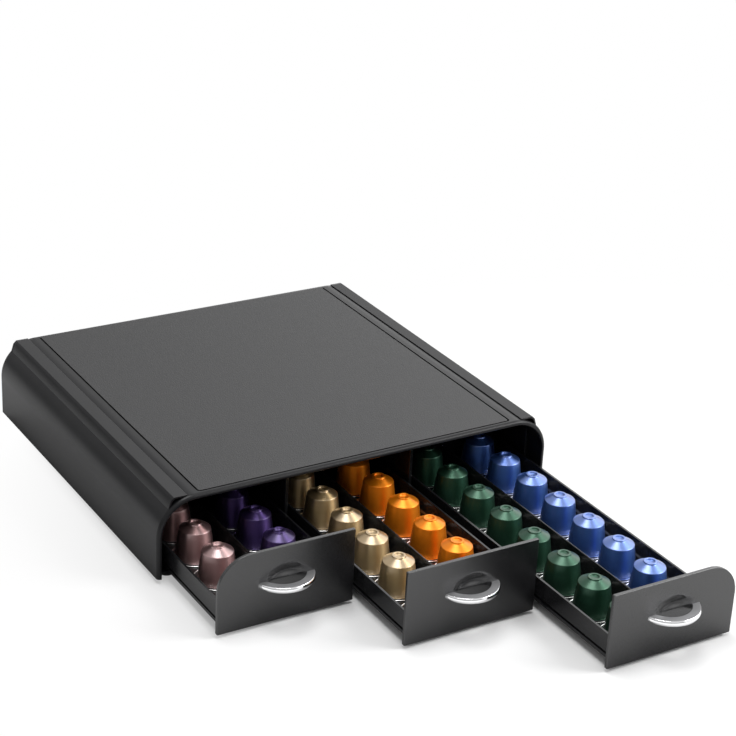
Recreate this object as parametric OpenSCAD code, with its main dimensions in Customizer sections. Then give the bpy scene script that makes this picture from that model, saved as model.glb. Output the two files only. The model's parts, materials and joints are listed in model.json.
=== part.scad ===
// Low three-bay drawer case for coffee pods, with three trays that slide out at the front.
// Millimetres, +Z up, +Y to the rear. The origin is on the ground, under the middle of the whole
// object as it stands with its drawers part open.

/* [Case] */
// Width across the case
case_w = 348; // [330:1:370]
// Depth of the case from its front lip to its rear face
case_d = 316; // [300:1:350]
// Height of the case without its feet
case_h = 65; // [62:1:80]
// Thickness of the moulded shell
case_wall = 3.8; // [3:0.1:4.4]
// Outer radius of the two rounded top corners
corner_r = 31; // [27:1:36]
// Thickness of the floor plate
floor_t = 2.5; // [2.2:0.1:3.2]
// Set-back of the floor plate behind the front lip
floor_setback = 6; // [5:0.5:9]
// Thickness of the rear cover
back_t = 3; // [2.6:0.1:4]

/* [Top panel] */
// Thickness of the inset panel, and depth of its recess
inset_t = 1.6; // [1:0.1:2]
// Flat strip between the curve of the corner and the inset panel's recess
inset_margin = 3.4; // [2:0.1:6]
// Rim between the front lip and the inset panel's recess
inset_rim = 4; // [3:0.1:8]
// Width of the groove round the inset panel
groove_w = 1; // [0.4:0.1:1.5]

/* [Shoulder rails] */
// Distance from the side of the case to the rail's inner edge
rail_in = 25; // [21:0.5:27]
// Distance from the side of the case to the outer edge of the rail's top
rail_top_out = 14.2; // [12:0.1:16]
// Distance from the side of the case to the rail's foot on the corner
rail_foot_out = 9.5; // [7:0.1:11]
// Height of the rail's top over the top of the case
rail_rise = 0.3; // [0.2:0.1:1.5]
// Width of the chamfer along the rail's outer edge
rail_chamfer = 2.6; // [0.6:0.1:3.5]
// Thickness of the rail's skin
rail_t = 1.4; // [1:0.1:1.8]
// Set-back of the rail behind the front lip
rail_setback = 2.5; // [2:0.5:8]

/* [Uprights] */
// Thickness of the partitions between the bays
upright_t = 3; // [2.6:0.1:3.4]
// Set-back of the uprights behind the front lip
upright_setback = 19; // [14:1:26]
// Width of the runner under each edge of a tray
runner_w = 6; // [4:0.5:9]
// Height of the runners over the floor plate
runner_h = 1.7; // [1.2:0.1:2.5]

/* [Drawer fronts] */
// Thickness of a drawer front
front_t = 3; // [2.6:0.1:3.4]
// Gap between neighbouring drawer fronts
front_gap = 0.7; // [0.5:0.1:1.5]
// Gap between an outer drawer front and the side of the shell
front_side_gap = 2.2; // [1.6:0.1:3]
// Gap between the drawer fronts and the top of the shell
front_top_gap = 2.2; // [1.6:0.1:3.5]
// How far the drawer fronts reach below the case
front_drop = 0.8; // [0.4:0.1:1.5]
// How far a closed front lies behind the lip
front_recess = 1; // [0.5:0.1:2]
// Radius of the outer top corner of the two outer fronts
front_corner_r = 26.5; // [22:0.5:32]
// Radius of the other corners of a front
front_edge_r = 1; // [0.5:0.1:3]

/* [Finger scoop and handle] */
// Width of the finger scoop
scoop_w = 38; // [30:1:44]
// Depth of the finger scoop
scoop_d = 6; // [4.5:0.1:7]
// Distance of the scoop's middle below its flat floor
scoop_drop = 7.5; // [2:0.5:9]
// Wall behind the finger scoop
scoop_wall = 1.4; // [1:0.1:2]
// Width of the handle across its ends
handle_w = 46.5; // [44.5:0.5:52]
// How far the handle stands out from the front
handle_reach = 16.5; // [12:0.5:18]
// Width of the finger gap behind the handle
grip_w = 32; // [28:0.5:35]
// Depth of the finger gap behind the handle
grip_d = 9.5; // [5:0.5:10.5]
// Height of the handle's section
handle_h = 4.4; // [3.4:0.1:5]
// Height of the handle's underside over the underside of the case
handle_z = 29.2; // [24:0.1:32]

/* [Trays] */
// Set-back of a tray's side behind the edge of its front
tray_inset = 3.8; // [3:0.1:5]
// Height of a tray's sides
tray_h = 19.1; // [16:0.1:24]
// Thickness of a tray's sides
tray_wall = 1.6; // [1.4:0.1:2.4]
// Thickness of a tray's floor
tray_floor_t = 2; // [1.8:0.1:2.4]
// Height of the flange along the foot of a tray's side
tray_flange_h = 2.5; // [2.2:0.1:3]
// Height of the guide groove along a tray's side
tray_groove_h = 2; // [1.8:0.1:2.6]
// Depth of the guide groove along a tray's side
tray_groove_d = 1.2; // [1:0.1:1.4]
// Gap between a closed tray and the rear cover
rear_clear = 2.5; // [2:0.1:4]
// Thickness of the lengthways divider
divider_t = 1; // [0.8:0.1:2]
// Thickness of the short ribs between the cells
rib_t = 1.1; // [0.8:0.1:1.3]
// Radius of the hollow that is cut out between two ribs
rib_hollow_r = 18; // [17.7:0.1:19]
// Drop of the ribs below the tops of the divider and the sides
rib_drop = 9; // [0.4:0.1:12]

/* [Drawers as they stand] */
// Distance of the left front ahead of the lip
left_out = 86; // [0:1:270]
// Distance of the middle front ahead of the lip
middle_out = 157; // [0:1:270]
// Distance of the right front ahead of the lip
right_out = 246; // [0:1:270]

/* [Pods] */
// Diameter of a pod's flange
pod_flange_d = 37; // [34:0.5:37.4]
// Thickness of a pod's flange
pod_flange_t = 0.6; // [0.4:0.1:1]
// Diameter of a pod's body where it meets the flange
pod_base_d = 29.4; // [28:0.1:31]
// Outward bulge of the body between its base and its shoulder
pod_bulge = 0.2; // [0:0.1:1.4]
// Diameter of a pod's shoulder
pod_shoulder_d = 24.2; // [22:0.1:26]
// Height of a pod's shoulder
pod_shoulder_z = 24.4; // [20:0.1:25]
// Radius of the shoulder's rounded edge
pod_shoulder_r = 1.4; // [0.4:0.1:1.8]
// Height at which the cone meets the raised ring
pod_cone_z = 27.5; // [26:0.1:28.1]
// Diameter of the raised ring on top
pod_ring_d = 10.4; // [9.6:0.1:12]
// Height of a pod
pod_h = 28.6; // [28.2:0.1:30]
// Diameter of the dimple in the raised ring
pod_dimple_d = 6.6; // [4:0.1:7]
// Depth of the dimple
pod_dimple_depth = 1; // [0.6:0.1:1.6]
// Thickness of a pod's metal
pod_wall = 0.6; // [0.4:0.1:0.8]
// Least gap between the flanges of neighbouring pods
pod_gap = 1; // [0.8:0.1:2]
// Rows of pods that stand in the left drawer
left_rows = 4; // [1:1:7]
// Rows of pods that stand in the middle drawer
middle_rows = 6; // [1:1:7]
// Rows of pods that stand in the right drawer
right_rows = 8; // [1:1:7]

/* [Feet, stops and screws] */
// Height of the rubber feet under the case
foot_h = 3.5; // [2.5:0.5:6]
// Diameter of a rubber foot
foot_d = 12; // [8:0.5:16]
// Distance of a foot's middle from the side and from the front or rear
foot_inset = 14; // [10:1:24]
// Diameter of the peg that holds a foot
foot_peg_d = 4.6; // [3:0.1:6]
// Width of the drawer stops and of the hooks that meet them
stop_w = 24; // [14:1:40]
// Set-back of the stops' rear faces behind the front lip, which sets how far a drawer travels
stop_setback = 32.2; // [26:0.1:60]
// Length of a drawer stop
stop_l = 6; // [4:0.5:9]
// Height of a drawer stop over the floor plate
stop_h = 1.5; // [1.1:0.1:1.7]
// How far a tray's hook hangs below its floor
hook_drop = 1.4; // [1:0.1:1.6]
// Diameter of the bumpers on the rear cover
bumper_d = 8; // [5:0.5:12]
// Diameter of the screws up into the uprights
upright_screw_d = 1.6; // [1.2:0.1:1.8]
// Length of the screws up into the uprights
upright_screw_l = 11; // [8:0.5:14]
// Diameter of the screws through the rear cover
back_screw_d = 2.4; // [2:0.1:2.8]
// Length of the screws through the rear cover
back_screw_l = 12; // [9:0.5:14]
// Diameter of the screws that hold a handle
handle_screw_d = 2; // [1.6:0.1:2.2]
// Distance from a handle screw to the end of the handle
handle_screw_in = 3.7; // [3.5:0.1:4.2]
// Diameter of the screws that hold a tray to its front
tray_screw_d = 2.2; // [1.8:0.1:2.4]
// Length of the screws that hold a tray to its front
tray_screw_l = 10; // [7:0.5:12]

/* [Hidden] */

// Facets of the round shapes
$fn = 96;
// Overrun of every cut past the face it opens
cut = 1;
// Running gap between a tray and its runners
slide_clear = 0.2;
// Running gap between a guide rib and its groove
guide_clear = 0.35;
// Gap between a piece and a curved face that it lies against
seat_gap = 0.3;
// Gap round a screw, a peg or a screw's head in its hole
hole_clear = 0.05;

// Heights, measured from the ground
base_z = foot_h;
top_z = base_z + case_h;
floor_top = base_z + floor_t;
ceiling_z = top_z - case_wall;
tray_z = floor_top + runner_h + slide_clear;
tray_top = tray_z + tray_h;
cell_z = tray_z + tray_floor_t;
groove_z = tray_z + tray_flange_h;
front_z0 = base_z - front_drop;
front_z1 = ceiling_z - front_top_gap;
grip_z = base_z + handle_z;
scoop_z = grip_z + handle_h;

// Places across the width
half_w = case_w / 2;
shell_in = half_w - case_wall;
arc_x = half_w - corner_r;
arc_z = top_z - corner_r;
front_w = (2 * shell_in - 2 * front_side_gap - 2 * front_gap) / 3;
drawer_pitch = front_w + front_gap;
bay_half = (drawer_pitch - upright_t) / 2;
tray_half = front_w / 2 - tray_inset;
tray_in = tray_half - tray_wall;
tray_foot_in = tray_in - tray_groove_d;
rib_reach = tray_half - tray_groove_d + guide_clear;
runner_in = tray_half - runner_w;
guide_x = drawer_pitch + bay_half;
liner_x = shell_in - seat_gap;
inset_half = arc_x - inset_margin;
channel_w = tray_in - divider_t / 2;
channel_x = divider_t / 2 + channel_w / 2;

// Places along the depth: the origin lies midway between the rear face and the foremost handle
outs = [left_out, middle_out, right_out];
back_y = (case_d + max(outs) + handle_reach) / 2;
front_y = back_y - case_d;
cover_y = back_y - back_t;
tray_len = case_d - back_t - rear_clear - front_recess - front_t;
cell_rows = floor((tray_len - tray_wall) / (pod_flange_d + pod_gap));
cell_pitch = (tray_len - tray_wall) / cell_rows;
row_counts = [left_rows, middle_rows, right_rows];

// Shares of an upright's length at which its screws stand
upright_screw_shares = [0.08, 0.5, 0.92];
// Countersunk head of a screw, against the screw's diameter, and its depth
head_share = 1.9;
head_depth_share = 0.55;
// Boss for a rear screw: its width, its length and its height over the case's underside
boss_w = 7;
boss_l = 11;
boss_rise = 33;
boss_z = base_z + boss_rise;
boss_x = liner_x - boss_w / 2;
upright_xs = [-drawer_pitch / 2, drawer_pitch / 2];
guide_mid = (guide_x + liner_x) / 2;
// Lug on a front that its tray is screwed to
lug_w = 4;
lug_l = 8;
lug_h = 13;
lug_x = tray_foot_in - seat_gap - lug_w / 2;
// Height of a pan head over the face it lies on, and its diameter against the screw's
pan_h = 1.3;
pan_share = 1.6;
// Peg of a foot, and the chamfer of its rim
foot_chamfer = 0.6;

// Colours
shell_colour = [0.15, 0.15, 0.155];
inner_colour = [0.045, 0.045, 0.05];
grain_colour = [0.17, 0.17, 0.175];
steel_colour = [0.62, 0.62, 0.64];
chrome_colour = [0.82, 0.83, 0.85];
rubber_colour = [0.03, 0.03, 0.03];
rose_colour = [0.62, 0.42, 0.41];
purple_colour = [0.24, 0.13, 0.40];
gold_colour = [0.73, 0.58, 0.33];
orange_colour = [0.91, 0.45, 0.05];
green_colour = [0.10, 0.27, 0.19];
blue_colour = [0.12, 0.28, 0.70];

// Height of the corner's curve at a distance x from the middle
function arc_height(x) = arc_z + sqrt(pow(corner_r, 2) - pow(x - arc_x, 2));
// Middle of drawer i, counted from the left as 0, 1, 2
function drawer_x(i) = (i - 1) * drawer_pitch;
// Front face of drawer i
function face_y(i) = front_y - outs[i];
// Rear face of the front of drawer i, where its tray starts
function tray_y(i) = face_y(i) + front_t;
// Row r of pods behind the front of drawer i
function row_y(i, r) = tray_y(i) + cell_pitch * (r + 1 / 2);

// Extrudes a section, drawn in X and Z, from y0 towards the rear
module run(y0, length)
    translate([0, y0 + length, 0])
        rotate([90, 0, 0])
            linear_extrude(length)
                children();

// Block between two corners
module block(lo, hi)
    translate(lo)
        cube(hi - lo);

// Rectangle between two corners of a section
module plate_2d(x0, z0, x1, z1)
    translate([x0, z0])
        square([x1 - x0, z1 - z0]);

// Arch section of the case, set in by inset and starting at z0
module arch_2d(inset, z0)
    intersection() {
        plate_2d(inset - half_w, z0, half_w - inset, top_z - inset);
        union() {
            plate_2d(-half_w, z0 - corner_r, half_w, arc_z);
            plate_2d(-arc_x, z0, arc_x, top_z);
            for (s = [-1, 1])
                translate([s * arc_x, arc_z])
                    circle(corner_r - inset);
        }
    }

// Countersunk screw that points up, with the face of its head at zero
module screw(d, length, gap) {
    cylinder(d = d + 2 * gap, h = length + gap);
    translate([0, 0, -gap])
        cylinder(d1 = d * head_share + 2 * gap, d2 = d + 2 * gap, h = d * head_depth_share + gap);
}

// Pan-headed screw that points up, with its head below zero
module pan_screw(d, length) {
    cylinder(d = d, h = length);
    translate([0, 0, -pan_h])
        cylinder(d = d * pan_share, h = pan_h);
}

module case_shell()
    color(shell_colour)
        difference() {
            run(front_y, case_d - back_t)
                difference() {
                    arch_2d(0, base_z);
                    arch_2d(case_wall, base_z - cut);
                }
            block([-inset_half, front_y + inset_rim, top_z - inset_t],
                [inset_half, back_y, top_z + cut]);
        }

module top_panel()
    color(grain_colour)
        block([groove_w - inset_half, front_y + inset_rim + groove_w, top_z - inset_t],
            [inset_half - groove_w, cover_y, top_z]);

// Outline of the right-hand rail, set in by inset, with the part of the corner that lies under it
module rail_2d(inset)
    polygon([
        [half_w - rail_in + inset, arc_z],
        [half_w - rail_in + inset, top_z + rail_rise - inset],
        [half_w - rail_top_out - inset, top_z + rail_rise - inset],
        [half_w - rail_top_out + rail_chamfer - inset, top_z + rail_rise - rail_chamfer - inset / 2],
        [half_w - rail_foot_out - inset, arc_height(half_w - rail_foot_out) - seat_gap],
        [half_w - rail_foot_out - inset, arc_z]
    ]);

module shoulder_rail()
    color(shell_colour)
        run(front_y + rail_setback, case_d - back_t - rail_setback)
            difference() {
                rail_2d(0);
                rail_2d(rail_t);
                translate([arc_x, arc_z])
                    circle(corner_r + hole_clear);
            }

module right_shoulder_rail() shoulder_rail();

module left_shoulder_rail()
    mirror([1, 0, 0])
        shoulder_rail();

// Places of the screws through the rear cover
module at_back_screws()
    for (x = concat(upright_xs, [-boss_x, boss_x]))
        translate([x, back_y, boss_z])
            rotate([90, 0, 0])
                children();

module back_cover()
    color(inner_colour)
        difference() {
            union() {
                run(cover_y, back_t)
                    arch_2d(0, base_z);
                run(cover_y, back_t)
                    rail_2d(0);
                mirror([1, 0, 0])
                    run(cover_y, back_t)
                        rail_2d(0);
            }
            at_back_screws()
                screw(back_screw_d, back_screw_l, hole_clear);
        }

module back_screws()
    color(steel_colour)
        at_back_screws()
            screw(back_screw_d, back_screw_l, 0);

// Places of the screws that go up through the floor into the uprights
module at_upright_screws()
    for (x = concat(upright_xs, [-guide_mid, guide_mid]))
        for (share = upright_screw_shares)
            translate([x, front_y + upright_setback + share * (cover_y - front_y - upright_setback), base_z])
                children();

module upright_screws()
    color(steel_colour)
        at_upright_screws()
            screw(upright_screw_d, upright_screw_l, 0);

// Places of the rubber feet
module at_feet()
    for (x = [foot_inset - half_w, 0, half_w - foot_inset])
        for (y = [front_y + foot_inset, back_y - foot_inset])
            translate([x, y, 0])
                children();

module rubber_feet()
    color(rubber_colour)
        at_feet() {
            cylinder(d1 = foot_d - 2 * foot_chamfer, d2 = foot_d, h = foot_chamfer);
            translate([0, 0, foot_chamfer])
                cylinder(d = foot_d, h = foot_h - foot_chamfer);
            cylinder(d = foot_peg_d, h = floor_top);
        }

module case_floor()
    color(inner_colour)
        difference() {
            block([-shell_in, front_y + floor_setback, base_z], [shell_in, cover_y, floor_top]);
            at_upright_screws()
                screw(upright_screw_d, upright_screw_l, hole_clear);
            at_feet()
                cylinder(d = foot_peg_d + 2 * hole_clear, h = floor_top + cut);
        }

// Runs an upright's section along the bays and drills it for its screws
module upright(boss_x0, boss_x1)
    color(inner_colour)
        difference() {
            union() {
                run(front_y + upright_setback, cover_y - front_y - upright_setback)
                    children();
                run(cover_y - boss_l, boss_l)
                    intersection() {
                        arch_2d(case_wall + seat_gap, base_z);
                        plate_2d(boss_x0, boss_z - boss_w / 2, boss_x1, boss_z + boss_w / 2);
                    }
            }
            at_upright_screws()
                screw(upright_screw_d, upright_screw_l, hole_clear);
            at_back_screws()
                screw(back_screw_d, back_screw_l, hole_clear);
        }

// Runner from x0 to x1 and guide rib from x2 to x3 of an upright
module runner_2d(x0, x1, x2, x3) {
    plate_2d(x0, floor_top, x1, floor_top + runner_h);
    plate_2d(x2, groove_z + guide_clear, x3, groove_z + tray_groove_h - guide_clear);
}

module partition() {
    x = drawer_pitch / 2;
    upright(x - boss_w / 2, x + boss_w / 2) {
        plate_2d(x - upright_t / 2, floor_top, x + upright_t / 2, ceiling_z);
        runner_2d(runner_in, 2 * x - runner_in, rib_reach, 2 * x - rib_reach);
    }
}

module right_partition() partition();

module left_partition()
    mirror([1, 0, 0])
        partition();

module side_guide()
    upright(liner_x - boss_w, liner_x) {
        intersection() {
            arch_2d(case_wall + seat_gap, floor_top);
            plate_2d(guide_x, floor_top, liner_x, top_z);
        }
        runner_2d(drawer_pitch + runner_in, guide_mid, drawer_pitch + rib_reach, guide_mid);
    }

module right_side_guide() side_guide();

module left_side_guide()
    mirror([1, 0, 0])
        side_guide();

module drawer_stops()
    color(inner_colour)
        for (i = [0 : 2])
            block([drawer_x(i) - stop_w / 2, front_y + stop_setback - stop_l, floor_top],
                [drawer_x(i) + stop_w / 2, front_y + stop_setback, floor_top + stop_h]);

module drawer_bumpers()
    color(rubber_colour)
        for (i = [0 : 2])
            translate([drawer_x(i), cover_y, tray_z + tray_h / 2])
                rotate([90, 0, 0])
                    cylinder(d = bumper_d, h = rear_clear - seat_gap);

// Outline of a front: its top corner on side s is round by the large radius, or neither where s is 0
module front_2d(s) {
    w = front_w / 2;
    r = front_edge_r;
    difference() {
        plate_2d(-w, front_z0, w, front_z1);
        for (side = [-1, 1])
            mirror([side < 0 ? 1 : 0, 0]) {
                corner_cut(w, front_z1, side == s ? front_corner_r : r, 1);
                corner_cut(w, front_z0, r, -1);
            }
    }
}

// What a round corner at (x, z) leaves out, with up as 1 for a top corner and -1 for a lower one
module corner_cut(x, z, r, up)
    difference() {
        translate([x - r, z - (up > 0 ? r : cut)])
            square(r + cut);
        translate([x - r, z - up * r])
            circle(r);
    }

// Ball that hollows out the finger scoop, larger by wall
module scoop_ball(i, wall) {
    r = (pow(scoop_w / 2, 2) + pow(scoop_d, 2)) / (2 * scoop_d);
    intersection() {
        translate([drawer_x(i), face_y(i) + scoop_d - r, scoop_z - scoop_drop])
            sphere(r + wall);
        block([drawer_x(i) - scoop_w, face_y(i) - cut * (wall > 0 ? 0 : 1), scoop_z - wall],
            [drawer_x(i) + scoop_w, tray_y(i) + scoop_w, front_z1]);
    }
}

// Places of the screws that hold the handle of drawer i, pointing forward from behind its front
module at_handle_screws(i)
    for (s = [-1, 1])
        translate([drawer_x(i) + s * (handle_w / 2 - handle_screw_in), tray_y(i), grip_z + handle_h / 2])
            rotate([90, 0, 0])
                children();

// Places of the screws that hold the tray of drawer i to its front
module at_tray_screws(i)
    for (s = [-1, 1])
        translate([drawer_x(i) + s * lug_x, tray_y(i) + lug_l / 2, tray_z])
            children();

module drawer_front(i, s)
    color(shell_colour)
        difference() {
            union() {
                run(face_y(i), front_t)
                    translate([drawer_x(i), 0])
                        front_2d(s);
                scoop_ball(i, scoop_wall);
                for (side = [-1, 1])
                    translate([drawer_x(i) + side * lug_x - lug_w / 2, tray_y(i), cell_z])
                        cube([lug_w, lug_l, lug_h]);
            }
            scoop_ball(i, 0);
            at_handle_screws(i) {
                cylinder(d = handle_screw_d + 2 * hole_clear, h = 2 * front_t, center = true);
                translate([0, 0, -scoop_d - scoop_wall])
                    cylinder(d = handle_screw_d * pan_share + 2 * hole_clear, h = scoop_d + scoop_wall);
            }
            at_tray_screws(i)
                screw(tray_screw_d, tray_screw_l, hole_clear);
        }

// Length of a handle screw past the front, into the handle's end
handle_bite = 2.4;

module drawer_handle(i) {
    outer_r = (pow(handle_w / 2, 2) + pow(handle_reach, 2)) / (2 * handle_reach);
    inner_r = (pow(grip_w / 2, 2) + pow(grip_d, 2)) / (2 * grip_d);
    color(chrome_colour)
        difference() {
            translate([drawer_x(i), face_y(i), grip_z])
                linear_extrude(handle_h)
                    difference() {
                        translate([0, outer_r - handle_reach])
                            circle(outer_r);
                        translate([0, inner_r - grip_d])
                            circle(inner_r);
                        translate([-2 * outer_r, 0])
                            square(4 * outer_r);
                    }
            at_handle_screws(i)
                cylinder(d = handle_screw_d + 2 * hole_clear, h = front_t + handle_bite + hole_clear);
        }
}

module drawer_handle_screws(i)
    color(steel_colour)
        at_handle_screws(i)
            pan_screw(handle_screw_d, front_t + handle_bite);

// Section of a tray on one side of its middle
module tray_half_2d()
    polygon([
        [0, tray_z],
        [tray_half, tray_z],
        [tray_half, groove_z],
        [tray_half - tray_groove_d, groove_z],
        [tray_half - tray_groove_d, groove_z + tray_groove_h],
        [tray_half, groove_z + tray_groove_h],
        [tray_half, tray_top],
        [tray_in, tray_top],
        [tray_in, groove_z + tray_groove_h + 2 * tray_groove_d],
        [tray_foot_in, groove_z + tray_groove_h + tray_groove_d],
        [tray_foot_in, cell_z],
        [0, cell_z]
    ]);

// Ribs of drawer i from x0 to x1 on both sides of its middle, hollowed out between them
module cell_ribs(i, x0, x1)
    for (row = [1 : cell_rows - 1])
        for (s = [-1, 1])
            translate([drawer_x(i), 0, 0])
                run(tray_y(i) + row * cell_pitch - rib_t / 2, rib_t)
                    difference() {
                        plate_2d(s > 0 ? x0 : -x1, cell_z, s > 0 ? x1 : -x0, tray_top - rib_drop);
                        translate([s * channel_x, tray_top - rib_drop])
                            circle(rib_hollow_r);
                    }

module drawer_tray(i)
    color(inner_colour)
        difference() {
            union() {
                translate([drawer_x(i), 0, 0])
                    run(tray_y(i), tray_len) {
                        tray_half_2d();
                        mirror([1, 0])
                            tray_half_2d();
                    }
                block([drawer_x(i) - tray_in, tray_y(i) + tray_len - tray_wall, tray_z],
                    [drawer_x(i) + tray_in, tray_y(i) + tray_len, tray_top]);
                block([drawer_x(i) - stop_w / 2, tray_y(i) + tray_len - tray_wall, tray_z - hook_drop],
                    [drawer_x(i) + stop_w / 2, tray_y(i) + tray_len, cell_z]);
                cell_ribs(i, channel_x, tray_in);
            }
            at_tray_screws(i)
                screw(tray_screw_d, tray_screw_l, hole_clear);
        }

module drawer_insert(i)
    color(inner_colour) {
        block([drawer_x(i) - divider_t / 2, tray_y(i), cell_z],
            [drawer_x(i) + divider_t / 2, tray_y(i) + tray_len - tray_wall, tray_top]);
        cell_ribs(i, 0, channel_x);
    }

module drawer_tray_screws(i)
    color(steel_colour)
        at_tray_screws(i)
            screw(tray_screw_d, tray_screw_l, 0);

// Steps along a pod's bulged body
body_steps = 5;
// Steps round a pod's shoulder
shoulder_steps = 3;
// Slope of the rounded shoulder where it meets the cone, in degrees
shoulder_turn = 62;

// Outline of a pod above its flange, set in by inset
function pod_outline(inset) = concat(
    [for (k = [0 : body_steps - 1])
        let (t = k / body_steps)
        [pod_base_d / 2 + (pod_shoulder_d - pod_base_d) / 2 * t + pod_bulge * sin(180 * t) - inset,
            pod_flange_t + (pod_shoulder_z - pod_shoulder_r - pod_flange_t) * t]],
    [for (k = [0 : shoulder_steps])
        let (a = shoulder_turn * k / shoulder_steps)
        [pod_shoulder_d / 2 - pod_shoulder_r + pod_shoulder_r * cos(a) - inset,
            pod_shoulder_z - pod_shoulder_r + pod_shoulder_r * sin(a) - inset]],
    [
        [pod_ring_d / 2 - inset, pod_cone_z - inset],
        [pod_ring_d / 2 - inset, pod_h - inset],
        [pod_dimple_d / 2 + inset, pod_h - inset],
        [pod_dimple_d / 2 + inset, pod_h - pod_dimple_depth - inset],
        [0, pod_h - pod_dimple_depth - inset]
    ]);

// One pod, a thin skin round a sealed hollow, that stands on its flange
module pod() {
    inner = pod_outline(pod_wall);
    rotate_extrude()
        polygon(concat(
            [[0, 0], [pod_flange_d / 2, 0], [pod_flange_d / 2, pod_flange_t]],
            pod_outline(0),
            [for (k = [len(inner) - 1 : -1 : 0]) inner[k]],
            [[0, pod_flange_t]]));
}

// Column of pods in drawer i, left of its divider where s is -1 and right where it is 1
module pod_column(i, s)
    for (row = [0 : min(row_counts[i], cell_rows) - 1])
        translate([drawer_x(i) + s * channel_x, row_y(i, row), cell_z])
            pod();

module left_front() drawer_front(0, -1);
module left_handle() drawer_handle(0);
module left_handle_screws() drawer_handle_screws(0);
module left_tray() drawer_tray(0);
module left_insert() drawer_insert(0);
module left_tray_screws() drawer_tray_screws(0);
module middle_front() drawer_front(1, 0);
module middle_handle() drawer_handle(1);
module middle_handle_screws() drawer_handle_screws(1);
module middle_tray() drawer_tray(1);
module middle_insert() drawer_insert(1);
module middle_tray_screws() drawer_tray_screws(1);
module right_front() drawer_front(2, 1);
module right_handle() drawer_handle(2);
module right_handle_screws() drawer_handle_screws(2);
module right_tray() drawer_tray(2);
module right_insert() drawer_insert(2);
module right_tray_screws() drawer_tray_screws(2);
module rose_pods() color(rose_colour) pod_column(0, -1);
module purple_pods() color(purple_colour) pod_column(0, 1);
module gold_pods() color(gold_colour) pod_column(1, -1);
module orange_pods() color(orange_colour) pod_column(1, 1);
module green_pods() color(green_colour) pod_column(2, -1);
module blue_pods() color(blue_colour) pod_column(2, 1);

case_shell();
top_panel();
left_shoulder_rail();
right_shoulder_rail();
back_cover();
case_floor();
left_partition();
right_partition();
left_side_guide();
right_side_guide();
drawer_stops();
drawer_bumpers();
rubber_feet();
upright_screws();
back_screws();
left_front();
left_handle();
left_handle_screws();
left_tray();
left_insert();
left_tray_screws();
middle_front();
middle_handle();
middle_handle_screws();
middle_tray();
middle_insert();
middle_tray_screws();
right_front();
right_handle();
right_handle_screws();
right_tray();
right_insert();
right_tray_screws();
rose_pods();
purple_pods();
gold_pods();
orange_pods();
green_pods();
blue_pods();
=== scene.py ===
"""Looks of a low drawer case for coffee pods, modelled round its packed construction.

The shell, the top panel, the drawer fronts, the handles and the pods are meshes made here. The shoulder
rails, partitions, side guides, rear cover, inserts, stops, bumpers, feet and screws are copies of the
construction's solids with softened edges. The trays and the floor plate are those solids themselves, in a
better material.
Sizes are in millimetres unless a comment says otherwise.
"""

import json
from math import asin, cos, hypot, pi, radians, sin

import bmesh
import bpy
from mathutils import Matrix, Vector

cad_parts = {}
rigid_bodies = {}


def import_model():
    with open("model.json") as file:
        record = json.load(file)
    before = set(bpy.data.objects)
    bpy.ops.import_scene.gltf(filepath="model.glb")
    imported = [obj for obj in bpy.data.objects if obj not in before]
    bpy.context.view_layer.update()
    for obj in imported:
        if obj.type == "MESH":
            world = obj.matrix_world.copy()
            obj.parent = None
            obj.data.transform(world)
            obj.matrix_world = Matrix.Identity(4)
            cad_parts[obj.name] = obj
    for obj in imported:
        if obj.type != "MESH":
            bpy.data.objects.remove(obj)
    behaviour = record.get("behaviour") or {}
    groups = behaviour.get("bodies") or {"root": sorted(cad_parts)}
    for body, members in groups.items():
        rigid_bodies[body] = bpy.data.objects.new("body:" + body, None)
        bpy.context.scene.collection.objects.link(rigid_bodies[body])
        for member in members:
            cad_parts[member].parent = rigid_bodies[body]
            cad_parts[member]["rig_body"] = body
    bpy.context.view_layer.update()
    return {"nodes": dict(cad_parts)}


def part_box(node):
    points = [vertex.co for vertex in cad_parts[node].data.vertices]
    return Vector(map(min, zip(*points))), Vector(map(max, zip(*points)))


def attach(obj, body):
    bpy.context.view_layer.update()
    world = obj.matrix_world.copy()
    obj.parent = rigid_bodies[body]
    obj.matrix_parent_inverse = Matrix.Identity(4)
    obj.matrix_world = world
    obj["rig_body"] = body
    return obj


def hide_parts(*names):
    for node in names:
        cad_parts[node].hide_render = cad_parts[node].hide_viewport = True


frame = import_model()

MM = 0.001

# Drawers, each with the side on which its front's top corner is round: -1 left, 1 right, 0 neither
DRAWERS = {"left": -1, "middle": 0, "right": 1}

# Camera: place and clipping in metres, angles in degrees, focal length in pixels of the square image, and
# width of the sensor
CAMERA_PLACE = (-0.7128, -1.18155, 0.7623)
CAMERA_CLIP = (0.05, 50)
CAMERA_YAW = 31.675
CAMERA_PITCH = 24.506
CAMERA_ROLL = 2.878
FOCAL_PX = 1978.75
IMAGE_PX = 736
SENSOR = 36

# Distances within which vertices merge, in a mesh made here and in a copy of a CAD mesh
MERGE = 0.0005
CAD_MERGE = 0.001

# Turns from face to face, in degrees, up to which the shading is smooth, on pods and elsewhere
POD_CREASE = 50
CREASE = 38

# Turns above which an edge is rounded, on the top panel and elsewhere, and up to which it is dissolved
PANEL_TURN = 60
ROUNDED_TURN = 35
FLAT_TURN = 0.5

# Upward share of its normal from which a face counts as level, on the softened solids and on a handle
LEVEL = 0.99
HANDLE_LEVEL = 0.9

# Case
CASE_WALL = 3.8
CORNER_R = 31
CORNER_STEPS = 24
LIP_ROUND = 3
LIP_STEPS = 6
LIP_INNER_ROUND = 0.6
SHELL_ROUND = 0.4

# Top panel, its recess in the shell, and how far the recess's cutter runs past the shell
INSET_T = 1.6
INSET_MARGIN = 3.4
INSET_RIM = 4
INSET_CORNER_R = 3.5
INSET_CORNER_STEPS = 8
INSET_OVERRUN = 1.6
GROOVE_W = 1.5
PANEL_ROUND = 0.25

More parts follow.
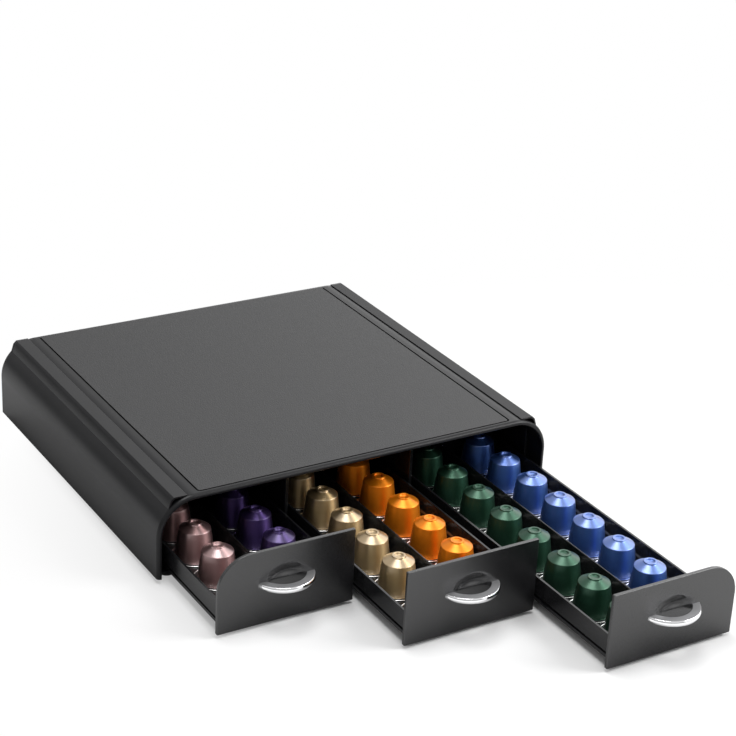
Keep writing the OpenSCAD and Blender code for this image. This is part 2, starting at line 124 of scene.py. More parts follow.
# Radii of the edges of the softened solids, and how many radii long an edge has to be for its neighbours
# to be rounded
RAIL_ROUND = 0.3
PARTITION_ROUND = 0.5
SIDE_GUIDE_ROUND = 0.3
COVER_ROUND = 0.5
STOP_ROUND = 0.3
BUMPER_ROUND = 0.4
FOOT_ROUND = 0.3
INSERT_ROUND = 0.2
SCREW_ROUND = 0.1
SHORT_EDGE = 1.5

# Drawer fronts
FRONT_T = 3
FRONT_CORNER_R = 26.5
FRONT_CORNER_STEPS = 16
FRONT_EDGE_R = 1
FRONT_ROUND = 0.6
FRONT_ROUND_STEPS = 4

# Lugs behind a front: width, length and height, distance of the middle from the front's side, lowest height
LUG_SIZE = (4, 8, 13)
LUG_IN = 8.9
LUG_Z = 9.9
LUG_ROUND = 0.4

# Finger scoop: a bowl cut off along its lower edge, over which it fades in
SCOOP_W = 42
SCOOP_RISE = 19.5
SCOOP_DROP = 7.5
SCOOP_D = 6
SCOOP_POWER = 1.5
SCOOP_FADE = 8
SCOOP_WALL = 1.4
SCOOP_MARGIN = 1
SCOOP_COLUMNS = 48
SCOOP_ROWS = 40

# Painted shade in the finger scoop: depths over which its shine is lowered, and the shine that is left there
SCOOP_PAINTED_SHADE = (0.4, 2.6)
PAINTED_SHADE_SHINE = 0.28

# Handle, with its steps from the middle to an end
HANDLE_W = 46.5
HANDLE_REACH = 16.5
HANDLE_STEPS = 28
HANDLE_ROUND = 0.3
HANDLE_ROUND_STEPS = 5
HANDLE_CROWN = 0.7
HANDLE_CROWN_STEPS = 9
GRIP_W = 32
GRIP_D = 9.5

# Pods, with angles in degrees
POD_SEGMENTS = 72
POD_FLANGE_R = 18.5
POD_FLANGE_T = 0.5
POD_BEAD_R = 0.5
POD_BEAD_W = 1.1
POD_BEAD_TURN = 150
POD_BEAD_STEPS = 10
POD_BASE_R = 14.7
POD_BULGE = 0.2
POD_BODY_STEPS = 16
POD_FOOT_R = 0.3
POD_FOOT_STEPS = 5
POD_SHOULDER_R = 12.1
POD_SHOULDER_Z = 24.4
POD_EDGE_R = 0.9
POD_EDGE_STEPS = 6
POD_CONE_TURN = 62
POD_CONE_Z = 27.5
POD_RING_R = 5.2
POD_RING_FOOT_W = 0.3
POD_RING_FOOT_DROP = 0.1
POD_RING_FOOT_RISE = 0.25
POD_RING_ROUND = 0.35
POD_RING_STEPS = 4
POD_H = 28.6
POD_DIMPLE_R = 3.3
POD_DIMPLE_D = 1
POD_DIMPLE_CHAMFER = 0.2

# How much lower than a pod a CAD shell may be and still stand for one, and the digits kept of its place
POD_SLACK = 0.1
PLACE_DIGITS = 2

# Order of the materials on a pod
METAL, BRIGHT, DARK = 0, 1, 2

# Middle part of a noise's values, which is spread over a range of colour or roughness, and levels of detail
NOISE_SPAN = (0.3, 0.7)
CLOUD_DETAIL = 4.0
GRAIN_DETAIL = 3.0
SWAY_DETAIL = 2.0

# Sockets of a Mix node that mixes colours
MIX_SHARE, MIX_FIRST, MIX_SECOND, MIX_RESULT = 0, 6, 7, 2

# Strength of the world's light on what is neither seen nor mirrored
WORLD_LIGHT = 0.45

# World in reflections: its share of light at the horizon, the rise over which that grows to the whole, and
# the part across over which its strength changes, from that on the left to that on the right
WORLD_HORIZON = 0.12
WORLD_RISE = (0.02, 0.26)
WORLD_ACROSS = (0.3, 0.56)
WORLD_SIDES = (0.70, 2.0)

# Floor, in metres: its radius, and the distances from FLOOR_MID over which it turns white to the camera
FLOOR_R = 6
FLOOR_CORNERS = 96
FLOOR_TONE = 0.92
FLOOR_MID = (0.22, -0.20, 0)
FLOOR_FADE = (0.32, 0.60)

# Painted shade on the floor, seen only in reflections: reach, in metres, of the object's shelter on the
# floor;
# and the openness to the sky over which that painted shade lightens, with its least and greatest brightness
FLOOR_SHELTER = 0.16
FLOOR_OPENNESS = (0.5, 0.95)
FLOOR_MIRRORED = (0.32, 1)

# Softboxes: place, target, and width and height in metres, and power in watts
LAMPS = {
    "key": ((1.5, -1.0, 1.3), (0, -0.1, 0), (1.0, 1.0), 25),
    "top": ((-0.1, -0.1, 1.8), (0, -0.1, 0), (1.1, 0.7), 17),
}


class Nodes:
    """Short way to build a node tree."""

    def __init__(self, tree):
        self.tree = tree
        tree.nodes.clear()

    def add(self, kind, **values):
        """New node. A name with an input of its own is fed to it; any other is a setting of the node."""
        node = self.tree.nodes.new(kind)
        for name, value in values.items():
            key = name.replace("_", " ")
            if key in node.inputs:
                self.feed(node.inputs[key], value)
            else:
                setattr(node, name, value)
        return node

    def feed(self, socket, value):
        """Links value to a socket if it is one itself, or sets it there."""
        if isinstance(value, bpy.types.NodeSocket):
            self.tree.links.new(value, socket)
        else:
            socket.default_value = value

    def operate(self, kind, operation, values):
        """Node of a kind that has an operation, with its inputs fed in order."""
        node = self.add(kind, operation=operation)
        for socket, value in zip(node.inputs, values):
            self.feed(socket, value)
        return node

    def maths(self, operation, *values):
        return self.operate("ShaderNodeMath", operation, values).outputs["Value"]

    def vectors(self, operation, *values, result="Vector"):
        return self.operate("ShaderNodeVectorMath", operation, values).outputs[result]

    def mapped(self, source, from_low, from_high, to_low, to_high):
        """source with from_low to from_high spread over to_low to to_high, and level beyond."""
        return self.add("ShaderNodeMapRange", Value=source, From_Min=from_low, From_Max=from_high,
                        To_Min=to_low, To_Max=to_high).outputs[0]

    def mixed(self, share, first, second):
        """Colour between first, where share is 0, and second, where it is 1."""
        node = self.add("ShaderNodeMix", data_type="RGBA")
        self.feed(node.inputs[MIX_SHARE], share)
        self.feed(node.inputs[MIX_FIRST], (*first, 1))
        self.feed(node.inputs[MIX_SECOND], (*second, 1))
        return node.outputs[MIX_RESULT]

    def noise(self, coords, size, stretch, detail):
        """Noise with grains about size across, longer along the axes whose stretch is small."""
        scales = [s / (size * MM) for s in stretch]
        mapping = self.add("ShaderNodeMapping", Vector=coords, Scale=scales)
        return self.add("ShaderNodeTexNoise", Vector=mapping.outputs[0], Scale=1.0, Detail=detail).outputs[0]

    def leather(self, coords, size):
        """Height of uneven rounded cells about size across, with creases between them."""
        scale = 1 / (size * MM)
        sway = self.add("ShaderNodeTexNoise", Vector=coords, Scale=scale / 2, Detail=SWAY_DETAIL)
        moved = self.vectors("MULTIPLY_ADD", sway.outputs["Color"], [size * MM] * 3, coords)
        cells = self.add("ShaderNodeTexVoronoi", feature="SMOOTH_F1", Vector=moved, Scale=scale)
        return self.maths("SUBTRACT", 1.0, cells.outputs["Distance"])

    def show(self, kind, shader):
        """Output node of a material or a world, fed by a shader."""
        self.feed(self.add(kind).inputs["Surface"], shader)


def surface(name, dark, light, rough, grain, relief, stretch=(1, 1, 1), cloud=30, cells=0, spun=False,
            painted_shade=None, **fixed):
    """Material whose colour drifts between dark and light in clouds, whose roughness varies over the
    range rough, and whose grains of size grain stand out by relief. Leather-like cells of a given size
    can take the grains' place in the relief, and a spun surface shines as if brushed round the Z axis.
    fixed goes to the shader's sockets. Where a mesh has its depth in the attribute sunk, a surface given a
    range of depths for it gets painted shade there: its shine is lowered over that range."""
    material = bpy.data.materials.new(name)
    material.use_nodes = True
    nodes = Nodes(material.node_tree)
    coords = nodes.add("ShaderNodeTexCoord").outputs["Object"]
    clouds = nodes.noise(coords, cloud, stretch, CLOUD_DETAIL)
    grains = nodes.noise(coords, grain, stretch, GRAIN_DETAIL)
    height = nodes.leather(coords, cells) if cells else grains
    shader = nodes.add("ShaderNodeBsdfPrincipled", **fixed)
    colour = nodes.mixed(nodes.mapped(clouds, *NOISE_SPAN, 0, 1), dark, light)
    nodes.feed(shader.inputs["Base Color"], colour)
    nodes.feed(shader.inputs["Roughness"], nodes.mapped(grains, *NOISE_SPAN, *rough))
    if spun:
        normal = nodes.add("ShaderNodeNewGeometry").outputs["Normal"]
        nodes.feed(shader.inputs["Tangent"], nodes.vectors("CROSS_PRODUCT", normal, (0, 0, 1)))
    # Painted shade: the shine is lowered with the depth kept in the attribute sunk
    if painted_shade:
        depth = nodes.add("ShaderNodeAttribute", attribute_name="sunk").outputs["Fac"]
        shine = nodes.mapped(depth, *painted_shade, fixed["Specular_IOR_Level"], PAINTED_SHADE_SHINE)
        nodes.feed(shader.inputs["Specular IOR Level"], shine)
    bump = nodes.add("ShaderNodeBump", Strength=1.0, Distance=relief * MM, Height=height)
    nodes.feed(shader.inputs["Normal"], bump.outputs[0])
    nodes.show("ShaderNodeOutputMaterial", shader.outputs[0])
    return material


def foil(name, dark, light, coat, index=1.5, brushed=0.9, metal=0.85):
    """Lacquered aluminium with fine brushing round the pod, under a clear coat of a given strength."""
    return surface(name, dark, light, rough=(0.38, 0.44), grain=0.35, relief=0.0012,
                   stretch=(0.1, 0.1, 1), cloud=9, spun=True, Metallic=metal, Anisotropic=brushed,
                   Anisotropic_Rotation=0.25, Coat_Weight=coat, Coat_Roughness=0.30, Coat_IOR=index)


SHELL = surface("satin_shell", dark=(0.006, 0.006, 0.007), light=(0.009, 0.009, 0.010),
                rough=(0.28, 0.36), grain=0.35, relief=0.004, IOR=1.32)
RAIL_TOP = surface("matte_rail", dark=(0.007, 0.007, 0.008), light=(0.010, 0.010, 0.011),
                   rough=(0.44, 0.52), grain=0.35, relief=0.010, IOR=1.42)
# Satin fronts, with painted shade in the finger scoop
FRONT = surface("satin_front", dark=(0.004, 0.004, 0.005), light=(0.006, 0.006, 0.007),
                rough=(0.25, 0.31), grain=0.35, relief=0.003, painted_shade=SCOOP_PAINTED_SHADE, Specular_IOR_Level=1.0)
GRAINED = surface("grained_panel", dark=(0.010, 0.010, 0.011), light=(0.015, 0.015, 0.016),
                  rough=(0.40, 0.52), grain=0.55, relief=0.16, cloud=2.5, cells=0.9)
INNER = surface("gloss_inner", dark=(0.006, 0.006, 0.007), light=(0.009, 0.009, 0.010),
                rough=(0.20, 0.28), grain=0.6, relief=0.002)
RUBBER = surface("foot_rubber", dark=(0.012, 0.012, 0.012), light=(0.020, 0.020, 0.020),
                 rough=(0.70, 0.85), grain=0.3, relief=0.02)
STEEL = surface("screw_steel", dark=(0.50, 0.50, 0.51), light=(0.60, 0.60, 0.61),
                rough=(0.28, 0.38), grain=0.2, relief=0.003, Metallic=1.0)
CHROME = surface("handle_chrome", dark=(0.94, 0.94, 0.95), light=(0.97, 0.97, 0.98),
                 rough=(0.05, 0.09), grain=0.5, relief=0.0008, Metallic=1.0)
SATIN = surface("handle_satin", dark=(0.36, 0.36, 0.37), light=(0.45, 0.45, 0.46),
                rough=(0.42, 0.52), grain=0.15, relief=0.003, Metallic=1.0)
RIM = surface("pod_rim", dark=(0.84, 0.83, 0.82), light=(0.92, 0.91, 0.90),
              rough=(0.14, 0.22), grain=0.3, relief=0.001, Metallic=1.0)
FLANGE = surface("flange_lacquer", dark=(0.012, 0.012, 0.013), light=(0.018, 0.018, 0.019),
                 rough=(0.20, 0.28), grain=0.3, relief=0.001)
FOILS = {
    "rose_pods": foil("rose_foil", dark=(0.35, 0.19, 0.185), light=(0.40, 0.23, 0.225), coat=1.0,
                      index=1.95),
    "purple_pods": foil("purple_foil", dark=(0.050, 0.028, 0.120), light=(0.065, 0.036, 0.150), coat=0.7),
    "gold_pods": foil("gold_foil", dark=(0.45, 0.31, 0.14), light=(0.53, 0.38, 0.19), coat=1.0, index=1.9),
    "orange_pods": foil("orange_foil", dark=(0.86, 0.235, 0.004), light=(0.95, 0.27, 0.006), coat=0.25,
                        brushed=0.6, metal=0.7),
    "green_pods": foil("green_foil", dark=(0.018, 0.072, 0.040), light=(0.024, 0.088, 0.050), coat=0.6,
                       brushed=0.6),
    "blue_pods": foil("blue_foil", dark=(0.039, 0.130, 0.47), light=(0.050, 0.157, 0.56), coat=1.0,
                      index=2.1, brushed=0.6),
}


def in_mm(node):
    """Lowest and highest corner of a CAD node."""
    low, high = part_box(node)
    return low / MM, high / MM


def body_of(node):
    return frame["nodes"][node]["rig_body"]


def mesh_from(name, bm):
    """Mesh of a bmesh, which is used up."""
    mesh = bpy.data.meshes.new(name)
    bm.to_mesh(mesh)
    bm.free()
    return mesh


def placed(name, data):
    """New object in the scene."""
    made = bpy.data.objects.new(name, data)
    bpy.context.scene.collection.objects.link(made)
    return made


def piece(name, bm, materials, node, crease=CREASE):
    """Object from a bmesh that stands for a CAD node: smooth but where it turns by more than crease."""
    bmesh.ops.remove_doubles(bm, verts=bm.verts, dist=MERGE * MM)
    bmesh.ops.recalc_face_normals(bm, faces=bm.faces)
    mesh = mesh_from(name, bm)
    for material in materials:
        mesh.materials.append(material)
    mesh.polygons.foreach_set("use_smooth", [True] * len(mesh.polygons))
    mesh.set_sharp_from_angle(angle=radians(crease))
    made = placed(name, mesh)
    normals = made.modifiers.new("normals", "WEIGHTED_NORMAL")
    normals.keep_sharp = True
    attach(made, body_of(node))
    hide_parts(node)


def bevel_sharp(bm, width, segments=2, turn=ROUNDED_TURN, only=None):
    """Rounds the edges that turn by more than turn degrees: those in only, or all if there is no only."""
    edges = [e for e in (bm.edges if only is None else only)
             if len(e.link_faces) == 2 and e.calc_face_angle() > radians(turn)]
    bmesh.ops.bevel(bm, geom=edges, offset=width * MM, offset_type="OFFSET", segments=segments,
                    profile=0.5, affect="EDGES", clamp_overlap=True)


def cad_copy(node):
    """Bmesh of a CAD node's mesh, with its faces joined up."""
    bm = bmesh.new()
    bm.from_mesh(frame["nodes"][node].data)
    bmesh.ops.remove_doubles(bm, verts=bm.verts, dist=CAD_MERGE * MM)
    return bm


def softened(node, material, width, top=None):
    """Copy of a CAD node with its sharp edges rounded, and with another material on level tops if given.
    Edges that meet a much shorter one, as at a screw hole, stay sharp. Where all edges do, as on a small
    cylinder, all are rounded as far as there is room."""
    bm = cad_copy(node)
    bmesh.ops.dissolve_limit(bm, angle_limit=radians(FLAT_TURN), verts=bm.verts, edges=bm.edges)
    shortest = SHORT_EDGE * width * MM
    clear = {v for v in bm.verts if all(e.calc_length() > shortest for e in v.link_edges)}
    bevel_sharp(bm, width, only=[e for e in bm.edges if clear.issuperset(e.verts)] or None)
    bmesh.ops.triangulate(bm, faces=[f for f in bm.faces if len(f.verts) > 4])
    bm.normal_update()
    for face in bm.faces:
        face.material_index = 1 if top and face.normal.z > LEVEL else 0
    piece(f"{node}_moulding", bm, [material, top] if top else [material], node)


def dressed(node, material):
    """The construction's own solid, with its sharp edges, in a better material."""
    for slot in frame["nodes"][node].material_slots:
        slot.material = material


def skin(bm, rings, closed=True):
    """Quads between neighbouring rings of vertices, or between neighbouring lines if not closed."""
    for first, second in zip(rings, rings[1:]):
        for k in range(0 if closed else 1, len(first)):
            bm.faces.new((first[k - 1], first[k], second[k], second[k - 1]))


def prism(bm, outline, place):
    """Solid between the two ends of an outline, where place(point, end) gives a point's corner."""
    rings = [[bm.verts.new(Vector(place(p, end)) * MM) for p in outline] for end in (0, 1)]
    for ring in rings:
        bm.faces.new(ring)
    skin(bm, rings)


def arc(cx, cz, radius, start, end, steps):
    """Points along an arc from start to end, in degrees."""
    angles = [radians(start + (end - start) * k / steps) for k in range(steps + 1)]
    return [(cx + radius * cos(a), cz + radius * sin(a)) for a in angles]


def rounded_rectangle(x0, z0, x1, z1, radii, steps):
    """Outline with a radius for each corner: lower left, lower right, upper right, upper left."""
    points = []
    corners = ((x0, z0, 1, 1, 180), (x1, z0, -1, 1, 270), (x1, z1, -1, -1, 0), (x0, z1, 1, -1, 90))
    for (x, z, sx, sz, start), radius in zip(corners, radii):
        if radius:
            points += arc(x + sx * radius, z + sz * radius, radius, start, start + 90, steps)
        else:
            points.append((x, z))
    return points


def cut_away(bm, cutter):
    """bm with the solid cutter taken out of it. Both are used up."""
    for part in (bm, cutter):
        bmesh.ops.recalc_face_normals(part, faces=part.faces)
    whole, tool = (placed("cut", mesh_from("cut", part)) for part in (bm, cutter))
    modifier = whole.modifiers.new("cut", "BOOLEAN")
    modifier.operation = "DIFFERENCE"
    modifier.solver = "EXACT"
    modifier.object = tool
    result = bmesh.new()
    result.from_object(whole, bpy.context.evaluated_depsgraph_get())
    for made in (whole, tool):
        bpy.data.meshes.remove(made.data)
    return result


def panel_outline(margin, overrun=0):
    """Outline, in x and y, of the recess in the shell's top, set in by margin and run on at the rear."""
    low, high = in_mm("case_shell")
    half = high.x - CORNER_R - INSET_MARGIN - margin
    radius = INSET_CORNER_R - margin
    return rounded_rectangle(-half, low.y + INSET_RIM + margin, half, high.y + overrun,
                             (radius, radius, 0, 0), INSET_CORNER_STEPS)


def arch():
    """Solid of the shell without its recess, and the edges of its outer and its inner lip at the front,
    where the first ring of vertices lies."""
    low, high = in_mm("case_shell")
    half, base = high.x, low.z
    x, z = half - CORNER_R, high.z - CORNER_R
    inner = CORNER_R - CASE_WALL
    outside = [(-half, base), *arc(-x, z, CORNER_R, 180, 90, CORNER_STEPS),
               *arc(x, z, CORNER_R, 90, 0, CORNER_STEPS), (half, base)]
    inside = [(half - CASE_WALL, base), *arc(x, z, inner, 0, 90, CORNER_STEPS),
              *arc(-x, z, inner, 90, 180, CORNER_STEPS), (CASE_WALL - half, base)]
    bm = bmesh.new()
    prism(bm, outside + inside, lambda p, end: (p[0], high.y if end else low.y, p[1]))
    bmesh.ops.recalc_face_normals(bm, faces=bm.faces)
    bm.verts.ensure_lookup_table()
    rims = [set(bm.verts[:len(outside)]), set(bm.verts[len(outside):len(outside) + len(inside)])]
    outer_lip, inner_lip = ([e for e in bm.edges if rim.issuperset(e.verts)] for rim in rims)
    return bm, outer_lip, inner_lip


def case_shell():
    """Arched shell with rounded lips and a recess for the top panel."""
    bm, outer_lip, inner_lip = arch()
    bevel_sharp(bm, LIP_INNER_ROUND, only=inner_lip)
    bevel_sharp(bm, LIP_ROUND, LIP_STEPS, only=[e for e in outer_lip if e.is_valid])
    bevel_sharp(bm, SHELL_ROUND)
    top = in_mm("case_shell")[1].z
    recess = bmesh.new()
    prism(recess, panel_outline(0, INSET_OVERRUN),
          lambda p, end: (*p, top + INSET_OVERRUN if end else top - INSET_T))
    piece("case_shell_moulding", cut_away(bm, recess), [SHELL], "case_shell")


def top_panel():
    """Grained panel that lies in the recess, with a fine groove round it."""
    low, high = in_mm("top_panel")
    bm = bmesh.new()
    prism(bm, panel_outline(GROOVE_W), lambda p, end: (*p, high.z if end else low.z))
    bevel_sharp(bm, PANEL_ROUND, turn=PANEL_TURN)
    piece("top_panel_grained", bm, [GRAINED], "top_panel")


def dish(x, rise):
    """Depth of the finger scoop at x from its middle and rise above its lower edge, where it fades in."""
    rho = hypot(x / (SCOOP_W / 2), (rise + SCOOP_DROP) / SCOOP_RISE)
    share = min(1, rise / SCOOP_FADE)
    return SCOOP_D * (1 - rho * rho) ** SCOOP_POWER * share * share * (3 - 2 * share) if rho < 1 else 0


def dish_patch(bm, x_mid, y, z, thinner):
    """Skin of the scoop over its lower edge at z, sunk from y. Returns its border edges."""
    half = SCOOP_W / 2 + SCOOP_MARGIN
    sunk = bm.verts.layers.float["sunk"]
    before = set(bm.edges)
    lines = []
    for c in range(SCOOP_COLUMNS + 1):
        x = half * (2 * c / SCOOP_COLUMNS - 1)
        line = []
        for k in range(SCOOP_ROWS + 1):
            rise = SCOOP_RISE * k / SCOOP_ROWS
            depth = max(0, dish(x, rise) - thinner)
            vert = bm.verts.new(Vector((x_mid + x, y + depth, z + rise)) * MM)
            # The depth is kept for the painted shade in the scoop
            vert[sunk] = depth
            line.append(vert)
        lines.append(line)
    skin(bm, lines, closed=False)
    return [e for e in bm.edges if e not in before and len(e.link_faces) == 1]


def fill_between(bm, ring, border, facing):
    """Fills the flat face between a ring of vertices and a patch's border."""
    edges = [bm.edges.new((ring[k - 1], ring[k])) for k in range(len(ring))]
    bmesh.ops.triangle_fill(bm, use_beauty=True, use_dissolve=False, edges=edges + border,
                            normal=(0, facing, 0))


def front_rings(bm, low, high, side):
    """Rings of vertices round a front, from its face over its rounded rims to its back."""
    radii = [FRONT_EDGE_R] * 4
    if side:
        radii[3 if side < 0 else 2] = FRONT_CORNER_R

    def ring(inset, y):
        outline = rounded_rectangle(low.x + inset, low.z + inset, high.x - inset, high.z - inset,
                                    [r - inset for r in radii], FRONT_CORNER_STEPS)
        return [bm.verts.new(Vector((x, y, z)) * MM) for x, z in outline]

    face, back = low.y, low.y + FRONT_T
    turns = [pi / 2 * k / FRONT_ROUND_STEPS for k in range(FRONT_ROUND_STEPS + 1)]
    return ([ring(FRONT_ROUND * (1 - sin(a)), face + FRONT_ROUND * (1 - cos(a))) for a in turns]
            + [ring(FRONT_ROUND * (1 - cos(a)), back - FRONT_ROUND * (1 - sin(a))) for a in turns])


def drawer_front(name, side):
    """Front with rounded rims, a soft finger scoop and the wall behind it, and lugs for the tray."""
    node = f"{name}_front"
    low, high = in_mm(node)
    x_mid = (low.x + high.x) / 2
    scoop_z = in_mm(f"{name}_handle")[1].z
    face, back = low.y, low.y + FRONT_T
    bm = bmesh.new()
    bm.verts.layers.float.new("sunk")
    rings = front_rings(bm, low, high, side)
    fill_between(bm, rings[0], dish_patch(bm, x_mid, face, scoop_z, 0), -1)
    behind = dish_patch(bm, x_mid, back, scoop_z - SCOOP_WALL, FRONT_T - SCOOP_WALL)
    fill_between(bm, rings[-1], behind, 1)
    skin(bm, rings)
    for s in (-1, 1):
        lug(bm, x_mid + s * ((high.x - low.x) / 2 - LUG_IN), back)
    piece(f"{node}_panel", bm, [FRONT], node)


def lug(bm, x, y):
    """Lug on a front's rear that its tray is screwed to."""
    width, length, height = LUG_SIZE
    outline = [(-width / 2, 0), (width / 2, 0), (width / 2, height), (-width / 2, height)]
    before = set(bm.edges)
    prism(bm, outline, lambda p, end: (x + p[0], y + (length if end else -FRONT_ROUND), LUG_Z + p[1]))
    bevel_sharp(bm, LUG_ROUND, only=[e for e in bm.edges if e not in before])


def grip_section(width, half_h):
    """Section of a handle, crowned on its outer side: how far in from that side each point lies, and how
    far over the middle of the height."""
    points = rounded_rectangle(0, -half_h, width, half_h, [HANDLE_ROUND] * 4, HANDLE_ROUND_STEPS)
    points += [(0, (half_h - HANDLE_ROUND) * (1 - 2 * j / HANDLE_CROWN_STEPS))
               for j in range(1, HANDLE_CROWN_STEPS)]
    return [(u + HANDLE_CROWN * (v / half_h) ** 2 * max(0, 1 - u / (width / 2)), v) for u, v in points]


def handle(name):
    """Crescent grip: a polished, slightly crowned band with satin faces above and below."""
    node = f"{name}_handle"
    low, high = in_mm(node)
    x_mid, face, half_h = (low.x + high.x) / 2, high.y, (high.z - low.z) / 2

    def on_arc(width, reach, share):
        """Point on an arc that stands out from the front by reach, at a share of the way to its end."""
        radius = (width * width / 4 + reach * reach) / (2 * reach)
        angle = asin(width / 2 / radius) * share
        return Vector((x_mid + radius * sin(angle), face + radius - reach - radius * cos(angle)))

    bm = bmesh.new()
    rings = []
    for k in range(2 * HANDLE_STEPS + 1):
        share = k / HANDLE_STEPS - 1
        outer, inner = on_arc(HANDLE_W, HANDLE_REACH, share), on_arc(GRIP_W, GRIP_D, share)
        width = (inner - outer).length
        ring = []
        for u, v in grip_section(width, half_h):
            at = outer + (inner - outer) * (u / width)
            ring.append(bm.verts.new(Vector((at.x, at.y, low.z + half_h + v)) * MM))
        rings.append(ring)
    skin(bm, rings)
    for ring in (rings[0], rings[-1]):
        bm.faces.new(ring)
    bm.normal_update()
    for face in bm.faces:
        face.material_index = 1 if abs(face.normal.z) > HANDLE_LEVEL else 0
    piece(f"{node}_grip", bm, [CHROME, SATIN], node)


def revolve(bm, profile, place):
    """Skin of a profile of (radius, height, material) turned about an axis; place(x, y, z) puts it."""
    rings = []
    for radius, height, _ in profile:
        if radius:
            turn = [2 * pi * k / POD_SEGMENTS for k in range(POD_SEGMENTS)]
            rings.append([bm.verts.new(place(radius * cos(a), radius * sin(a), height)) for a in turn])
        else:
            rings.append([bm.verts.new(place(0, 0, height))] * POD_SEGMENTS)
    for first, second, (_, _, material) in zip(rings, rings[1:], profile):
        for k in range(POD_SEGMENTS):
            corners = dict.fromkeys((first[k - 1], first[k], second[k], second[k - 1]))
            bm.faces.new(list(corners)).material_index = material


def pod_body():
    """Points of a pod's foot, of its tapered body and of its rounded shoulder."""
    low, high = POD_FLANGE_T + POD_FOOT_R, POD_SHOULDER_Z - POD_EDGE_R
    points = arc(POD_BASE_R + POD_FOOT_R, low, POD_FOOT_R, -90, -180, POD_FOOT_STEPS)
    for k in range(1, POD_BODY_STEPS):
        t = k / POD_BODY_STEPS
        radius = POD_BASE_R + (POD_SHOULDER_R - POD_BASE_R) * t + POD_BULGE * sin(pi * t)
        points.append((radius, low + (high - low) * t))
    return points + arc(POD_SHOULDER_R - POD_EDGE_R, high, POD_EDGE_R, 0, POD_CONE_TURN, POD_EDGE_STEPS)


def pod_crown():
    """Points of a pod's raised ring, from the top of its cone, and of the dimple in it."""
    floor_z, round_z = POD_H - POD_DIMPLE_D, POD_H - POD_RING_ROUND
    return [
        (POD_RING_R + POD_RING_FOOT_W, POD_CONE_Z - POD_RING_FOOT_DROP),
        (POD_RING_R, POD_CONE_Z + POD_RING_FOOT_RISE),
        *arc(POD_RING_R - POD_RING_ROUND, round_z, POD_RING_ROUND, 0, 90, POD_RING_STEPS),
        *arc(POD_DIMPLE_R + POD_RING_ROUND, round_z, POD_RING_ROUND, 90, 180, POD_RING_STEPS),
        (POD_DIMPLE_R, floor_z + POD_DIMPLE_CHAMFER),
        (POD_DIMPLE_R - POD_DIMPLE_CHAMFER, floor_z),
        (0, floor_z),
    ]


def pod_profile():
    """Half section of a pod that stands on its flange, from the middle of its lid to its dimple."""
    bead = arc(POD_FLANGE_R - POD_BEAD_R, POD_BEAD_R, POD_BEAD_R, -90, POD_BEAD_TURN, POD_BEAD_STEPS)
    parts = (([(0, 0), *bead], BRIGHT), ([(POD_FLANGE_R - POD_BEAD_W, POD_FLANGE_T)], DARK),
             (pod_body() + pod_crown(), METAL))
    return [(radius, height, material) for points, material in parts for radius, height in points]


def islands(node):
    """Lowest and highest corner of each separate shell of a CAD node."""
    bm = cad_copy(node)
    left, boxes = set(bm.verts), []
    while left:
        stack, seen = [next(iter(left))], set()
        while stack:
            vert = stack.pop()
            if vert in seen:
                continue
            seen.add(vert)
            stack += [e.other_vert(vert) for e in vert.link_edges]
        left -= seen
        boxes.append(([min(v.co[k] for v in seen) / MM for k in range(3)],
                      [max(v.co[k] for v in seen) / MM for k in range(3)]))
    bm.free()
    return sorted(boxes)


def pods(node):
    """Column of pods, one in the place of each outer shell of a CAD node."""
    places = set()
    for low, high in islands(node):
        if high[2] - low[2] > POD_H - POD_SLACK:
            place = ((low[0] + high[0]) / 2, (low[1] + high[1]) / 2, high[2] - POD_H)
            places.add(tuple(round(value, PLACE_DIGITS) for value in place))
    bm = bmesh.new()
    profile = pod_profile()
    for x, y, z in sorted(places):
        revolve(bm, profile, lambda px, py, pz: Vector((x + px, y + py, z + pz)) * MM)
    piece(f"{node}_column", bm, [FOILS[node], RIM, FLANGE], node, crease=POD_CREASE)


def camera():
    """Camera that sees the object as the photo does."""
    made = placed("camera", bpy.data.cameras.new("camera"))
    made.data.sensor_width = SENSOR
    made.data.lens = FOCAL_PX / IMAGE_PX * SENSOR
    made.data.clip_start, made.data.clip_end = CAMERA_CLIP
    turn = (Matrix.Rotation(radians(-CAMERA_YAW), 4, "Z")
            @ Matrix.Rotation(radians(90 - CAMERA_PITCH), 4, "X")
            @ Matrix.Rotation(radians(CAMERA_ROLL), 4, "Z"))
    made.matrix_world = Matrix.Translation(CAMERA_PLACE) @ turn
    bpy.context.scene.camera = made


def lamp(name, place, target, size, power):
    """Softbox that points at target."""
    data = bpy.data.lights.new(name, "AREA")
    data.shape = "RECTANGLE"
    data.size, data.size_y = size
    data.energy = power
    made = placed(name, data)
    made.location = place
    made.rotation_euler = (Vector(target) - Vector(place)).to_track_quat("-Z", "Y").to_euler()


def world():
    """White behind everything. Reflections see a darker horizon and a brighter right; other light is dim."""
    made = bpy.data.worlds.new("studio")
    made.use_nodes = True
    bpy.context.scene.world = made
    nodes = Nodes(made.node_tree)
    path = nodes.add("ShaderNodeLightPath").outputs
    seen = nodes.maths("MAXIMUM", path["Is Camera Ray"], path["Is Transmission Ray"])
    toward = nodes.add("ShaderNodeTexCoord").outputs["Generated"]
    across, _, rise = nodes.add("ShaderNodeSeparateXYZ", Vector=toward).outputs
    mirrored = nodes.maths("MULTIPLY", nodes.mapped(rise, *WORLD_RISE, WORLD_HORIZON, 1),
                           nodes.mapped(across, *WORLD_ACROSS, *WORLD_SIDES))
    glossy = nodes.maths("MULTIPLY", path["Is Glossy Ray"], mirrored)
    plain = nodes.maths("SUBTRACT", 1.0, path["Is Glossy Ray"])
    lit = nodes.maths("MULTIPLY_ADD", plain, WORLD_LIGHT, glossy)
    background = nodes.add("ShaderNodeBackground", Color=(1, 1, 1, 1),
                           Strength=nodes.maths("MAXIMUM", lit, seen))
    nodes.show("ShaderNodeOutputWorld", background.outputs[0])


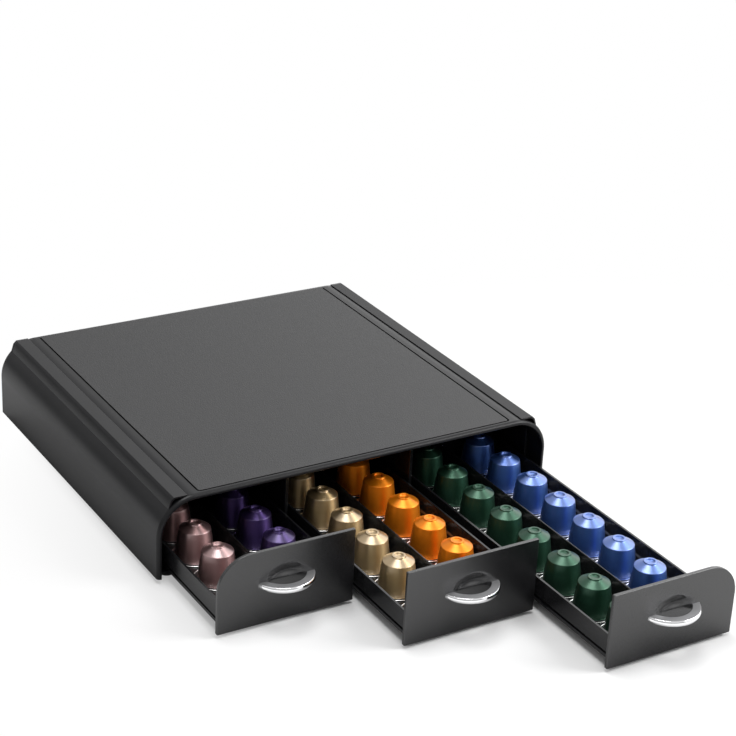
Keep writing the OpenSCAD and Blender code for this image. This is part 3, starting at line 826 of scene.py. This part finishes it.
def pale_floor():
    """Material that turns plain white to the camera further out, and that has painted shade, seen only in
    reflections, where the object shelters it: ambient occlusion darkens its colour there."""
    material = bpy.data.materials.new("pale_floor")
    material.use_nodes = True
    nodes = Nodes(material.node_tree)
    path = nodes.add("ShaderNodeLightPath").outputs
    coords = nodes.add("ShaderNodeTexCoord").outputs["Object"]
    distance = nodes.vectors("DISTANCE", coords, FLOOR_MID, result="Value")
    far = nodes.maths("MULTIPLY", nodes.mapped(distance, *FLOOR_FADE, 0, 1), path["Is Camera Ray"])
    # Painted shade: to glossy rays the floor's colour darkens with ambient occlusion near the object
    open_sky = nodes.add("ShaderNodeAmbientOcclusion", Distance=FLOOR_SHELTER).outputs["AO"]
    floor_painted_shade = nodes.maths("SUBTRACT", 1.0, nodes.mapped(open_sky, *FLOOR_OPENNESS, *FLOOR_MIRRORED))
    floor_painted_shade = nodes.maths("MULTIPLY", floor_painted_shade, path["Is Glossy Ray"])
    near = nodes.add("ShaderNodeBsdfDiffuse", Color=nodes.mixed(floor_painted_shade, [FLOOR_TONE] * 3, [0] * 3))
    white = nodes.add("ShaderNodeEmission", Strength=1.0)
    mix = nodes.add("ShaderNodeMixShader")
    for socket, value in zip(mix.inputs, (far, near.outputs[0], white.outputs[0])):
        nodes.feed(socket, value)
    nodes.show("ShaderNodeOutputMaterial", mix.outputs[0])
    return material


def floor():
    """Pale floor that takes the shadow near the object."""
    bm = bmesh.new()
    bmesh.ops.create_circle(bm, cap_ends=True, segments=FLOOR_CORNERS, radius=FLOOR_R)
    made = placed("floor", mesh_from("floor", bm))
    made.data.materials.append(pale_floor())


case_shell()
top_panel()
for side in ("left", "right"):
    softened(f"{side}_shoulder_rail", SHELL, RAIL_ROUND, top=RAIL_TOP)
    softened(f"{side}_partition", INNER, PARTITION_ROUND)
    softened(f"{side}_side_guide", INNER, SIDE_GUIDE_ROUND)
softened("back_cover", INNER, COVER_ROUND)
dressed("case_floor", INNER)
softened("drawer_stops", INNER, STOP_ROUND)
softened("drawer_bumpers", RUBBER, BUMPER_ROUND)
softened("rubber_feet", RUBBER, FOOT_ROUND)
for name, side in DRAWERS.items():
    drawer_front(name, side)
    handle(name)
    dressed(f"{name}_tray", INNER)
    softened(f"{name}_insert", INNER, INSERT_ROUND)
for node in FOILS:
    pods(node)
for node in ("back_screws", "upright_screws", *(f"{name}_handle_screws" for name in DRAWERS),
             *(f"{name}_tray_screws" for name in DRAWERS)):
    softened(node, STEEL, SCREW_ROUND)

camera()
world()
floor()
for name, settings in LAMPS.items():
    lamp(name, *settings)
bpy.context.scene.view_settings.view_transform = "Standard"
